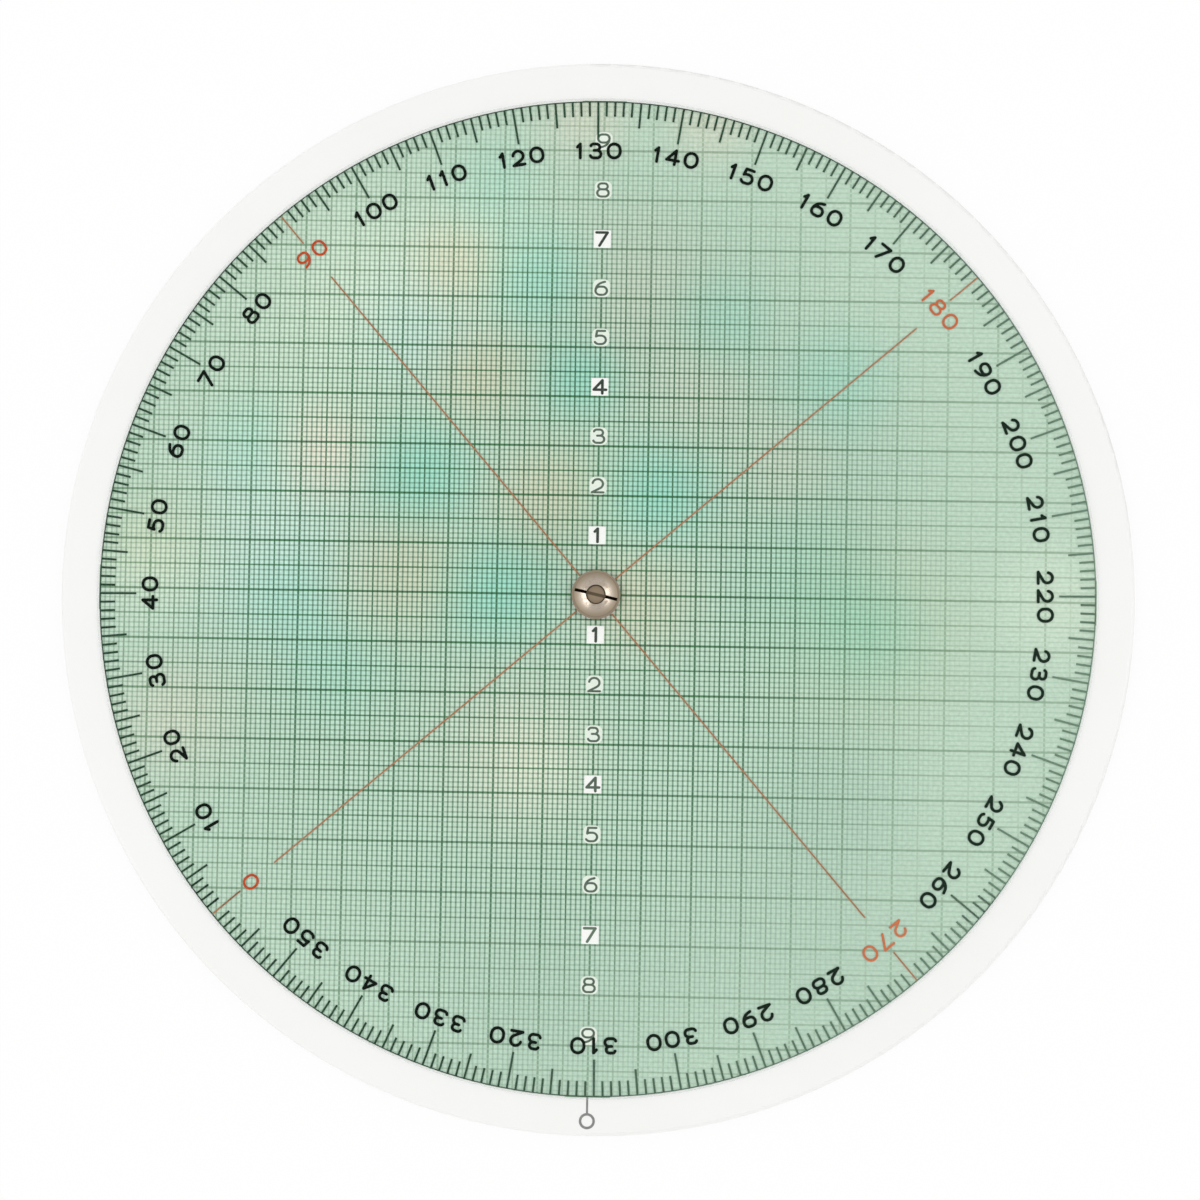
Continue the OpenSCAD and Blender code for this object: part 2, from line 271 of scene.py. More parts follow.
class Numerals:
    """Numbers of one height, pen width and spread, stamped into one mesh."""

    def __init__(self, height, pen, spread=1):
        self.height = height
        self.spread = spread
        self.digits = {digit: digit_mesh(digit, pen / height) for digit in DIGITS}
        self.bm = bmesh.new()

    def stamp(self, number, place, mirrored=False):
        """Writes a number with its middle at the origin of a place matrix."""
        widths = [ONE_WIDTH if digit == "1" else DIGIT_WIDTH for digit in str(number)]
        x = -(sum(widths) + DIGIT_GAP * (len(widths) - 1)) / 2
        side = -1 if mirrored else 1
        size = Matrix.Diagonal((side * self.spread * self.height, self.height, FILM, 1))
        for digit, width in zip(str(number), widths):
            drawn = len(self.bm.verts)
            self.bm.from_mesh(self.digits[digit])
            self.bm.verts.ensure_lookup_table()
            shift = Matrix.Translation((x, -0.5, 0))
            bmesh.ops.transform(self.bm, matrix=place @ size @ shift, verts=self.bm.verts[drawn:])
            x += width + DIGIT_GAP

    def piece(self, name, material, body, slot):
        """Closes the stamped numbers into one piece."""
        for mesh in self.digits.values():
            bpy.data.meshes.remove(mesh)
        finish_mesh(name, self.bm, material, body)


def on_dial(radius, clockwise, z):
    """Place on a dial with the top of the number outwards."""
    turn = Matrix.Rotation(-math.radians(clockwise), 4, "Z")
    return turn @ Matrix.Translation((0, radius, z))


# Helpers of the materials

def linear(colour):
    """An sRGB hex colour as linear red, green, blue and alpha."""
    channels = [int(colour[i:i + 2], 16) / 255 for i in (1, 3, 5)]
    return (*[c / 12.92 if c <= 0.04045 else ((c + 0.055) / 1.055) ** 2.4 for c in channels], 1)


def add(tree, kind, inputs=None, **settings):
    """Adds a node with its settings. Inputs are plain values, or outputs of other nodes to link."""
    node = tree.nodes.new(kind)
    for name, value in settings.items():
        setattr(node, name, value)
    for name, value in (inputs or {}).items():
        if isinstance(value, bpy.types.NodeSocket):
            tree.links.new(value, node.inputs[name])
        else:
            node.inputs[name].default_value = value
    return node


def new_material(name):
    """An empty material with its output node."""
    material = bpy.data.materials.new(name)
    material.use_nodes = True
    material.node_tree.nodes.clear()
    output = add(material.node_tree, "ShaderNodeOutputMaterial")
    return material, material.node_tree, output


def dress(node, material):
    """Gives a CAD node its finish."""
    for slot in nodes[node].material_slots:
        slot.material = material


def per(size):
    """Scale of a noise whose features are this size."""
    return 1 / size


# Sockets of a Mix node that mixes colours
MIX_SHARE = 0
MIX_FIRST = 6
MIX_SECOND = 7
MIX_RESULT = 2

# Soft patches where the green print took unevenly, and in the deep kind painted shade, broad places
# darkened where less light fell. Each kind has its shift of red, green and blue, and the x, y and radius
# of its places in millimetres.
PATCHES = {
    "blue": ((-0.32, 0, 0), ((12, 20, 17), (-20, 0, 17), (-36, 24, 17), (-12, 64, 17), (-4, 44, 13))),
    "faint_blue": ((-0.16, 0, 0), (
        (44, 0, 24), (-62, -2, 16), (-52, -16, 17), (24, 56, 15), (48, 44, 17), (-22, 82, 15),
        (-70, 30, 16), (56, -8, 18),
    )),
    "brown": ((0.18, 0, 0), (
        (-16, -32, 26), (8, -1, 20), (-12, 20, 16), (-56, 28, 16), (-24, 44, 17), (-4, 97, 15),
        (22, 97, 15), (-84, -26, 20),
    )),
    "faint_brown": ((0.14, 0, 0), (
        (6, 60, 28), (-40, 4, 20), (20, 40, 17), (36, 28, 16), (-56, 28, 14), (-30, 66, 14),
    )),
    "cool": ((-0.06, 0, 0.08), ((-66, 10, 34), (-38, 54, 20))),
    "yellow": ((0, -0.05, -0.12), (
        (-8, 20, 20), (54, -6, 32), (-40, 4, 20), (-24, 44, 15), (-30, 66, 14), (-88, 10, 18),
        (8, -1, 16),
    )),
    "pale": ((0.17, 0.09, 0.09), (
        (-56, 50, 38), (-20, 70, 26), (-42, 66, 28), (92, 0, 20), (-90, 4, 18), (-68, 14, 34),
        (-12, -34, 18),
    )),
    # Painted shade: broad places where the print is darker because less light fell there.
    "deep": ((-0.09, -0.06, -0.06), (
        (44, 26, 40), (-6, -84, 40), (48, -38, 26), (46, -70, 46), (10, 60, 44), (-10, 8, 18),
    )),
}

# The grid was printed in two passes, one for the upright lines and the tint, one for the level lines.
# Each fades outwards from its own place, between two distances and not alike in x and y, and is half
# faded at the rim. Where a level line lies over an upright one, both inks together let through the
# overprint colour.
UPRIGHT_MIDDLE = (-23 * MM, -1 * MM, 0)
UPRIGHT_SHAPE = (1, 0.92, 0)
UPRIGHT_REACH = (58 * MM, 100 * MM)
LEVEL_MIDDLE = (-22 * MM, 7 * MM, 0)
LEVEL_SHAPE = (0.8, 1, 0)
LEVEL_REACH = (40 * MM, 88 * MM)
OVERPRINT = "#8FAC9D"
RIM_FADE = 0.5
RIM_REACH = (66 * MM, 94 * MM)


def uneven_print_group():
    """Colour that the green print is multiplied by at each place of the grid, with the painted shade of
    the deep patches in it, and how far each of its two passes faded."""
    group = bpy.data.node_groups.new("uneven_print_and_shade", "ShaderNodeTree")
    group.interface.new_socket("Shift", in_out="OUTPUT", socket_type="NodeSocketColor")
    group.interface.new_socket("Upright Fade", in_out="OUTPUT", socket_type="NodeSocketFloat")
    group.interface.new_socket("Level Fade", in_out="OUTPUT", socket_type="NodeSocketFloat")
    output = add(group, "NodeGroupOutput")
    place = add(group, "ShaderNodeTexCoord").outputs["Object"]
    flat = add(group, "ShaderNodeVectorMath", {0: place, 1: (1, 1, 0)}, operation="MULTIPLY").outputs[0]
    tone = (1, 1, 1)
    for shift, places in PATCHES.values():
        for x, y, radius in places:
            middle = (x * MM, y * MM, 0)
            away = add(group, "ShaderNodeVectorMath", {0: flat, 1: middle}, operation="DISTANCE")
            share = add(
                group, "ShaderNodeMapRange",
                {"Value": away.outputs["Value"], "From Max": radius * MM, "To Min": 1, "To Max": 0},
                interpolation_type="SMOOTHSTEP",
            )
            patch = {0: share.outputs[0], 1: shift, 2: tone}
            tone = add(group, "ShaderNodeVectorMath", patch, operation="MULTIPLY_ADD").outputs[0]
    group.links.new(tone, output.inputs[0])
    radius = add(group, "ShaderNodeVectorMath", {0: flat}, operation="LENGTH")
    at_rim = add(
        group, "ShaderNodeMapRange",
        {
            "Value": radius.outputs["Value"], "From Min": RIM_REACH[0], "From Max": RIM_REACH[1],
            "To Max": RIM_FADE,
        },
    )
    passes = (
        (UPRIGHT_MIDDLE, UPRIGHT_SHAPE, UPRIGHT_REACH),
        (LEVEL_MIDDLE, LEVEL_SHAPE, LEVEL_REACH),
    )
    for i, (middle, shape, reach) in enumerate(passes):
        outward = add(group, "ShaderNodeVectorMath", {0: flat, 1: middle}, operation="SUBTRACT")
        shaped = {0: outward.outputs[0], 1: shape}
        outward = add(group, "ShaderNodeVectorMath", shaped, operation="MULTIPLY")
        outward = add(group, "ShaderNodeVectorMath", {0: outward.outputs[0]}, operation="LENGTH")
        fade = add(
            group, "ShaderNodeMapRange",
            {"Value": outward.outputs["Value"], "From Min": reach[0], "From Max": reach[1]},
        )
        fades = {0: fade.outputs[0], 1: at_rim.outputs[0]}
        fade = add(group, "ShaderNodeMath", fades, operation="MAXIMUM")
        group.links.new(fade.outputs[0], output.inputs[i + 1])
    return group


uneven_print_and_shade = uneven_print_group()


def green_print(name, colour, faded, printing):
    """Screen printed green ink, which took unevenly: it fades with its pass, soft patches lean to
    blue and to brown, broad deep patches darken it as painted shade, and the film is thicker and thinner
    from grain to grain of the mesh, drawn coarser than it is so that it shows. The level lines are darker
    where they cross the upright ones."""
    material, tree, output = new_material(name)
    place = add(tree, "ShaderNodeTexCoord").outputs["Object"]
    uneven = add(tree, "ShaderNodeGroup", node_tree=uneven_print_and_shade).outputs
    inks = {MIX_SHARE: uneven[printing], MIX_FIRST: linear(colour), MIX_SECOND: linear(faded)}
    ink = add(tree, "ShaderNodeMix", inks, data_type="RGBA").outputs[MIX_RESULT]
    if printing == "Level Fade":
        side = add(tree, "ShaderNodeSeparateXYZ", {0: place}).outputs["X"]
        side = add(tree, "ShaderNodeMath", {0: side, 1: FINE_PITCH / 2}, operation="PINGPONG")
        near = {0: side.outputs[0], 1: FINE_UPRIGHT_WIDTH / 2}
        over = add(tree, "ShaderNodeMath", near, operation="LESS_THAN").outputs[0]
        under = add(tree, "ShaderNodeMath", {0: 1, 1: uneven["Upright Fade"]}, operation="SUBTRACT")
        both = add(tree, "ShaderNodeMath", {0: over, 1: under.outputs[0]}, operation="MULTIPLY")
        inks = {MIX_SHARE: both.outputs[0], MIX_FIRST: ink, MIX_SECOND: linear(OVERPRINT)}
        ink = add(tree, "ShaderNodeMix", inks, data_type="RGBA", blend_type="MULTIPLY")
        ink = ink.outputs[MIX_RESULT]
    inks = {MIX_SHARE: 1, MIX_FIRST: ink, MIX_SECOND: uneven["Shift"]}
    shifted = add(tree, "ShaderNodeMix", inks, data_type="RGBA", blend_type="MULTIPLY")
    shifted = shifted.outputs[MIX_RESULT]
    grain = add(tree, "ShaderNodeTexNoise", {"Vector": place, "Scale": per(0.7 * MM), "Detail": 1})
    density = add(
        tree, "ShaderNodeMapRange",
        {
            "Value": grain.outputs["Fac"], "From Min": 0.3, "From Max": 0.7,
            "To Min": 0.94, "To Max": 1.06,
        },
    )
    grained = add(
        tree, "ShaderNodeVectorMath", {0: shifted, "Scale": density.outputs[0]}, operation="SCALE"
    )
    shader = add(
        tree, "ShaderNodeBsdfPrincipled",
        {"Base Color": grained.outputs[0], "Roughness": 0.5, "IOR": 1.5},
    )
    tree.links.new(shader.outputs[0], output.inputs["Surface"])
    return material


# Ways in which some of the print turns paler, from the middle of the discs outwards, and where the
# paling starts and ends. On the clear disc it turns paler towards the right, a painted reflection of
# bright light in the disc; the grid numbers turn paler towards the bottom.
CLEAR_DISC_REFLECTION_WAY = (0.966, -0.259, 0)
GRID_NUMBER_PALING_WAY = (0, -1, 0)
PALING_REACH = (0, 90 * MM)


def plain_ink(name, dense, thin, roughness, gloss=0.5, off_tone=None, way=CLEAR_DISC_REFLECTION_WAY):
    """Screen printed ink of one colour, a little thinner in specks where the film broke up, drawn
    coarser than they are so that they show. Ink that is seen through the sheet it was printed on has no
    gloss of its own. Ink given an off tone turns to that paler colour towards one side, which on the
    clear disc is painted reflection."""
    material, tree, output = new_material(name)
    place = add(tree, "ShaderNodeTexCoord").outputs["Object"]
    grain = add(tree, "ShaderNodeTexNoise", {"Vector": place, "Scale": per(0.5 * MM), "Detail": 3})
    broken = add(
        tree, "ShaderNodeMapRange", {"Value": grain.outputs["Fac"], "From Min": 0.45, "From Max": 0.75}
    )
    inks = {MIX_SHARE: broken.outputs[0], MIX_FIRST: linear(dense), MIX_SECOND: linear(thin)}
    colour = add(tree, "ShaderNodeMix", inks, data_type="RGBA").outputs[MIX_RESULT]
    # Towards one side the ink turns to the paler colour: painted reflection on the clear disc's inks, and
    # paler towards the bottom on the grid numbers.
    if off_tone:
        along = add(tree, "ShaderNodeVectorMath", {0: place, 1: way}, operation="DOT_PRODUCT")
        paling = add(
            tree, "ShaderNodeMapRange",
            {"Value": along.outputs["Value"], "From Min": PALING_REACH[0], "From Max": PALING_REACH[1]},
        )
        inks = {MIX_SHARE: paling.outputs[0], MIX_FIRST: colour, MIX_SECOND: linear(off_tone)}
        colour = add(tree, "ShaderNodeMix", inks, data_type="RGBA").outputs[MIX_RESULT]
    shader = add(
        tree, "ShaderNodeBsdfPrincipled",
        {"Base Color": colour, "Roughness": roughness, "IOR": 1.5, "Specular IOR Level": gloss},
    )
    tree.links.new(shader.outputs[0], output.inputs["Surface"])
    return material


def satin_vinyl(name, white, aged):
    """Rigid vinyl sheet, white and opaque, pressed between plates: a satin skin with a fine pebble, a
    breath of yellowing and the softened gloss of handling."""
    material, tree, output = new_material(name)
    place = add(tree, "ShaderNodeTexCoord").outputs["Object"]
    cloud = add(tree, "ShaderNodeTexNoise", {"Vector": place, "Scale": per(30 * MM), "Detail": 4})
    whites = {MIX_SHARE: cloud.outputs["Fac"], MIX_FIRST: linear(white), MIX_SECOND: linear(aged)}
    colour = add(tree, "ShaderNodeMix", whites, data_type="RGBA").outputs[MIX_RESULT]
    smear = add(tree, "ShaderNodeTexNoise", {"Vector": place, "Scale": per(6 * MM), "Detail": 5})
    gloss = add(
        tree, "ShaderNodeMapRange",
        {
            "Value": smear.outputs["Fac"], "From Min": 0.3, "From Max": 0.7,
            "To Min": 0.34, "To Max": 0.46,
        },
    )
    pebble = add(tree, "ShaderNodeTexNoise", {"Vector": place, "Scale": per(0.35 * MM), "Detail": 2})
    relief = add(
        tree, "ShaderNodeBump",
        {"Height": pebble.outputs["Fac"], "Strength": 0.12, "Distance": 0.02 * MM},
    )
    shader = add(
        tree, "ShaderNodeBsdfPrincipled",
        {"Base Color": colour, "Roughness": gloss.outputs[0], "IOR": 1.53, "Normal": relief.outputs[0]},
    )
    tree.links.new(shader.outputs[0], output.inputs["Surface"])
    return material


def polished_acrylic(name):
    """Cast acrylic sheet, polished and water clear: a mirror's gloss dulled in smears by years of
    turning, and a sawn and scraped edge that shows white."""
    material, tree, output = new_material(name)
    place = add(tree, "ShaderNodeTexCoord").outputs["Object"]
    shape = add(tree, "ShaderNodeNewGeometry")
    smear = add(tree, "ShaderNodeTexNoise", {"Vector": place, "Scale": per(12 * MM), "Detail": 1})
    dulled = add(
        tree, "ShaderNodeMapRange",
        {
            "Value": smear.outputs["Fac"], "From Min": 0.3, "From Max": 0.7,
            "To Min": 0.05, "To Max": 0.11,
        },
    )
    gloss = add(tree, "ShaderNodeBsdfGlossy", {"Color": (1, 1, 1, 1), "Roughness": dulled.outputs[0]})
    clear = add(tree, "ShaderNodeBsdfTransparent", {"Color": (1, 1, 1, 1)})
    mirror = add(tree, "ShaderNodeFresnel", {"IOR": 1.49})
    outside = add(tree, "ShaderNodeMath", {0: 1, 1: shape.outputs["Backfacing"]}, operation="SUBTRACT")
    fronts = {0: mirror.outputs[0], 1: outside.outputs[0]}
    share = add(tree, "ShaderNodeMath", fronts, operation="MULTIPLY")
    face = add(
        tree, "ShaderNodeMixShader", {0: share.outputs[0], 1: clear.outputs[0], 2: gloss.outputs[0]}
    )
    upright = add(tree, "ShaderNodeSeparateXYZ", {0: shape.outputs["True Normal"]})
    steep = add(tree, "ShaderNodeMath", {0: upright.outputs["Z"]}, operation="ABSOLUTE")
    edge = add(tree, "ShaderNodeMath", {0: steep.outputs[0], 1: EDGE_STEEPNESS}, operation="LESS_THAN")
    frosted = add(tree, "ShaderNodeMath", {0: edge.outputs[0], 1: EDGE_FROST}, operation="MULTIPLY")
    scraped = add(
        tree, "ShaderNodeBsdfPrincipled",
        {"Base Color": linear("#E4ECE8"), "Roughness": 0.5, "IOR": 1.49},
    )
    surface = add(
        tree, "ShaderNodeMixShader", {0: frosted.outputs[0], 1: face.outputs[0], 2: scraped.outputs[0]}
    )
    tree.links.new(surface.outputs[0], output.inputs["Surface"])
    return material


def nickelled_brass(name):
    """Turned brass with a thin nickel plate: warm grey metal with fine rings from the lathe, rubbed
    bright near the middle, and duller and browner in specks and towards the edge. The slot of the post's
    head is painted black as shade, and its dimple is a dull brown, not metal, that darkens to a ring of
    painted shade under the lip."""
    material, tree, output = new_material(name)
    place = add(tree, "ShaderNodeTexCoord").outputs["Object"]
    flat = add(tree, "ShaderNodeVectorMath", {0: place, 1: (1, 1, 0)}, operation="MULTIPLY")
    radius = add(tree, "ShaderNodeVectorMath", {0: flat.outputs[0]}, operation="LENGTH")
    radius = radius.outputs["Value"]
    turns = add(tree, "ShaderNodeMath", {0: radius, 1: math.tau / RING_PITCH}, operation="MULTIPLY")
    rings = add(tree, "ShaderNodeMath", {0: turns.outputs[0]}, operation="SINE")
    relief = add(
        tree, "ShaderNodeBump", {"Height": rings.outputs[0], "Strength": 0.15, "Distance": 0.004 * MM}
    )
    specks = add(tree, "ShaderNodeTexNoise", {"Vector": place, "Scale": per(1.1 * MM), "Detail": 5})
    specks = add(
        tree, "ShaderNodeMapRange", {"Value": specks.outputs["Fac"], "From Min": 0.5, "From Max": 0.75}
    )
    edge = add(
        tree, "ShaderNodeMapRange",
        {"Value": radius, "From Min": RUBBED_REACH[0], "From Max": RUBBED_REACH[1]},
        interpolation_type="SMOOTHSTEP",
    )
    off_tone = add(tree, "ShaderNodeMath", {0: specks.outputs[0], 1: edge.outputs[0]}, operation="MAXIMUM")
    off_tone = off_tone.outputs[0]
    metals = {MIX_SHARE: off_tone, MIX_FIRST: linear("#BCB0A2"), MIX_SECOND: linear("#A0927E")}
    metal = add(tree, "ShaderNodeMix", metals, data_type="RGBA").outputs[MIX_RESULT]
    dull = add(tree, "ShaderNodeMapRange", {"Value": off_tone, "To Min": 0.22, "To Max": 0.5})
    height = add(tree, "ShaderNodeSeparateXYZ", {0: place}).outputs["Z"]
    head = add(tree, "ShaderNodeMath", {0: height, 1: POST_HEAD_Z}, operation="GREATER_THAN").outputs[0]
    bowl = add(tree, "ShaderNodeMath", {0: radius, 1: DIMPLE_R}, operation="LESS_THAN").outputs[0]
    bowl = add(tree, "ShaderNodeMath", {0: bowl, 1: head}, operation="MULTIPLY").outputs[0]
    across = add(tree, "ShaderNodeVectorMath", {0: place, 1: SLOT_ACROSS}, operation="DOT_PRODUCT")
    across = add(tree, "ShaderNodeMath", {0: across.outputs["Value"]}, operation="ABSOLUTE").outputs[0]
    slot = add(tree, "ShaderNodeMath", {0: across, 1: SLOT_W / 2}, operation="LESS_THAN").outputs[0]
    slot = add(tree, "ShaderNodeMath", {0: slot, 1: head}, operation="MULTIPLY").outputs[0]
    # The dull brown dimple and the slot, painted black as shade, are not metal and have no gloss.
    not_metal = add(tree, "ShaderNodeMath", {0: bowl, 1: slot}, operation="MAXIMUM").outputs[0]
    bare = add(tree, "ShaderNodeMath", {0: 1, 1: not_metal}, operation="SUBTRACT").outputs[0]
    # Painted shade: towards the edge of the dimple its brown darkens to a dark ring, the shade under the
    # lip.
    lip = add(
        tree, "ShaderNodeMapRange",
        {"Value": radius, "From Min": DIMPLE_SHADE_REACH[0], "From Max": DIMPLE_SHADE_REACH[1]},
        interpolation_type="SMOOTHSTEP",
    )
    dimple_brown_and_shade = {MIX_SHARE: lip.outputs[0], MIX_FIRST: linear("#94846E"), MIX_SECOND: linear("#463C32")}
    brown = add(tree, "ShaderNodeMix", dimple_brown_and_shade, data_type="RGBA").outputs[MIX_RESULT]
    dimple_tones = {MIX_SHARE: bowl, MIX_FIRST: metal, MIX_SECOND: brown}
    dimple_toned = add(tree, "ShaderNodeMix", dimple_tones, data_type="RGBA").outputs[MIX_RESULT]
    # Painted shade: the slot is near black on the head and dark brown where it crosses the dimple, standing
    # in for the shade inside it.
    slot_shade_colours = {MIX_SHARE: bowl, MIX_FIRST: linear("#120E0B"), MIX_SECOND: linear("#675A49")}
    black = add(tree, "ShaderNodeMix", slot_shade_colours, data_type="RGBA").outputs[MIX_RESULT]
    tones = {MIX_SHARE: slot, MIX_FIRST: dimple_toned, MIX_SECOND: black}
    colour = add(tree, "ShaderNodeMix", tones, data_type="RGBA").outputs[MIX_RESULT]
    gloss = add(tree, "ShaderNodeMath", {0: bare, 1: BARE_GLOSS}, operation="MULTIPLY")
    shader = add(
        tree, "ShaderNodeBsdfPrincipled",
        {
            "Base Color": colour, "Metallic": bare, "Roughness": dull.outputs[0],
            "Specular IOR Level": gloss.outputs[0], "Normal": relief.outputs[0],
        },
    )
    tree.links.new(shader.outputs[0], output.inputs["Surface"])
    return material


def nylon_film(name):
    """Natural nylon film, stamped: milky, waxy and a little streaked from rolling."""
    material, tree, output = new_material(name)
    place = add(tree, "ShaderNodeTexCoord").outputs["Object"]
    streaks = add(tree, "ShaderNodeMapping", {"Vector": place, "Scale": (1, 6, 1)})
    grain = {"Vector": streaks.outputs[0], "Scale": per(3 * MM), "Detail": 3}
    roll = add(tree, "ShaderNodeTexNoise", grain).outputs["Fac"]
    milks = {MIX_SHARE: roll, MIX_FIRST: linear("#E9E3D2"), MIX_SECOND: linear("#D8CFB6")}
    colour = add(tree, "ShaderNodeMix", milks, data_type="RGBA").outputs[MIX_RESULT]
    shader = add(
        tree, "ShaderNodeBsdfPrincipled",
        {
            "Base Color": colour, "Roughness": 0.42, "IOR": 1.53,
            "Subsurface Weight": 0.2, "Subsurface Scale": 0.2 * MM,
        },
    )
    tree.links.new(shader.outputs[0], output.inputs["Surface"])
    return material


def spring_strip(name):
    """Cold rolled spring steel strip: bright, with straight rolling lines and the straw tint of
    tempering."""
    material, tree, output = new_material(name)
    place = add(tree, "ShaderNodeTexCoord").outputs["Object"]
    streaks = add(tree, "ShaderNodeMapping", {"Vector": place, "Scale": (1, 12, 1)})
    grain = {"Vector": streaks.outputs[0], "Scale": per(2 * MM), "Detail": 4}
    roll = add(tree, "ShaderNodeTexNoise", grain).outputs["Fac"]
    steels = {MIX_SHARE: roll, MIX_FIRST: linear("#B9B9BC"), MIX_SECOND: linear("#A89F8C")}
    colour = add(tree, "ShaderNodeMix", steels, data_type="RGBA").outputs[MIX_RESULT]
    shader = add(
        tree, "ShaderNodeBsdfPrincipled",
        {"Base Color": colour, "Metallic": 1.0, "Roughness": 0.3, "Anisotropic": 0.4},
    )
    tree.links.new(shader.outputs[0], output.inputs["Surface"])
    return material


# Finishes of the pieces
white_vinyl = satin_vinyl("rigid_vinyl_pressed_white", "#F5F5F4", "#F1F1EE")
clear_acrylic = polished_acrylic("cast_acrylic_polished_clear")
heavy_upright = green_print("screen_ink_green_heavy_upright", "#487D5A", "#A8C4AC", "Upright Fade")
heavy_level = green_print("screen_ink_green_heavy_level", "#4A8458", "#98B69C", "Level Fade")
half_upright = green_print("screen_ink_green_half_upright", "#457B57", "#B8D1BB", "Upright Fade")
half_level = green_print("screen_ink_green_half_level", "#5E9369", "#A8C4AC", "Level Fade")
fine_upright = green_print("screen_ink_green_fine_upright", "#84AA91", "#C5DECB", "Upright Fade")
fine_level = green_print("screen_ink_green_fine_level", "#9DBFA4", "#B7D4BD", "Level Fade")
green_tint = green_print("screen_ink_green_tint", "#CDE7D5", "#C6DECA", "Upright Fade")
black_ink = plain_ink("screen_ink_black", "#0B140E", "#16231A", 0.45)
# The clear disc's inks turn paler towards the right, a painted reflection.
degree_ink = plain_ink("reverse_ink_black", "#0B140E", "#16231A", 0.45, gloss=0, off_tone="#1C2E22")
scale_ink = plain_ink("reverse_ink_black_thin", "#2F4B38", "#405C49", 0.45, gloss=0, off_tone="#708C78")
red_ink = plain_ink("reverse_ink_orange_red", "#C04A26", "#CA603C", 0.45, gloss=0, off_tone="#D08058")
brown_ink = plain_ink("reverse_ink_red_brown", "#B27E5C", "#BA8E6E", 0.45, gloss=0)
grey_ink = plain_ink("screen_ink_grey", "#7B7D79", "#8F918C", 0.5)
number_ink = plain_ink("screen_ink_grey_green", "#4A604E", "#66796A", 0.5)
dark_number_ink = plain_ink(
    "screen_ink_dark_green", "#1E2E22", "#3A4B3C", 0.5, off_tone="#6A846C", way=GRID_NUMBER_PALING_WAY
)
blank_white = plain_ink("screen_ink_white", "#FCFDFA", "#F8FAF5", 0.5)
blank_pale = plain_ink("screen_ink_pale_green", "#EDF6EA", "#E6F1E3", 0.5)
filled_black = plain_ink("engraving_wax_black", "#141414", "#262624", 0.6)
plated_brass = nickelled_brass("brass_turned_nickel_plated")
friction_film = nylon_film("nylon_film_stamped")
wave_steel = spring_strip("spring_steel_cold_rolled")

for node in ("base_disc", "slide_rule_disc"):
    dress(node, white_vinyl)
for node in ("binding_post", "binding_screw", "cap_washer"):
    dress(node, plated_brass)
for node in ("front_spacer", "rear_spacer"):
    dress(node, friction_film)
dress("grid_heavy_upright", heavy_upright)
dress("grid_heavy_level", heavy_level)
dress("grid_half_upright", half_upright)
dress("grid_half_level", half_level)
dress("degree_scale", scale_ink)
dress("fixed_log_scale", black_ink)
dress("plotting_disc", clear_acrylic)
dress("quadrant_lines", brown_ink)
dress("index_mark", grey_ink)
dress("sliding_log_scale", filled_black)
dress("wave_washer", wave_steel)


# Printed pieces

def tint_film():
    """Green tint under the grid."""
    inner = SPACER_R + TINT_GAP
    low, high = BASE_TOP - FILM / 2, BASE_TOP + FILM / 2
    bm = lathe(((inner, low), (GRID_R, low), (GRID_R, high), (inner, high)), TINT_SIDES)
    finish_mesh("grid_tint", bm, green_tint, "base")


def millimetre_lines():
    """Millimetre lines, between the lines at every five millimetres that the frame has."""
    count = int(GRID_R / FINE_PITCH)
    offsets = [i * FINE_PITCH for i in range(-count, count + 1) if i % 5]
    upright, level = bmesh.new(), bmesh.new()
    for offset in offsets:
        chord = 2 * math.sqrt(GRID_R ** 2 - offset ** 2)
        strip(upright, offset, 0, FINE_UPRIGHT_WIDTH, chord, BASE_TOP, UPRIGHT_TOP)
        strip(level, 0, offset, chord, FINE_LEVEL_WIDTH, LEVEL_BOTTOM, LEVEL_TOP)
    finish_mesh("millimetre_lines_upright", upright, fine_upright, "base")
    finish_mesh("millimetre_lines_level", level, fine_level, "base")


def index_line_end():
    """Inner end of the index line, under the edge of the clear disc."""
    start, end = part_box("index_mark")[1].y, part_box("grid_heavy_upright")[0].y
    bm = bmesh.new()
    strip(bm, 0, (start + end) / 2, INDEX_WIDTH, end - start, BASE_TOP, UPRIGHT_TOP)
    finish_mesh("index_line_end", bm, grey_ink, "base")


def grid_numbers():
    """Numbers of the grid, in blank windows on the middle line."""
    window_z = LEVEL_TOP + WINDOW_LIFT
    number_z = window_z + NUMBER_LIFT
    sharp, rounded = bmesh.new(), bmesh.new()
    boxed = Numerals(GRID_NUMBER_HEIGHT, BOXED_PEN, GRID_NUMBER_SPREAD)
    open_numbers = Numerals(GRID_NUMBER_HEIGHT, OPEN_PEN, GRID_NUMBER_SPREAD)
    for k in [*range(-9, 0), *range(1, 10)]:
        y = k * GRID_PITCH + NUMBER_RISE
        place = Matrix.Translation((0, y, number_z))
        if abs(k) in BOXED_NUMBERS:
            strip(sharp, 0, y, WINDOW_X, WINDOW_Y, window_z, window_z + FILM)
            boxed.stamp(abs(k), place)
        else:
            strip(rounded, 0, y, WINDOW_X, WINDOW_Y, window_z, window_z + FILM, WINDOW_CORNER)
            open_numbers.stamp(abs(k), place)
    finish_mesh("number_windows_sharp", sharp, blank_white, "base")
    finish_mesh("number_windows_rounded", rounded, blank_pale, "base")
    boxed.piece("grid_numbers_boxed", dark_number_ink, "base", "grid_ink")
    open_numbers.piece("grid_numbers_open", number_ink, "base", "grid_ink")


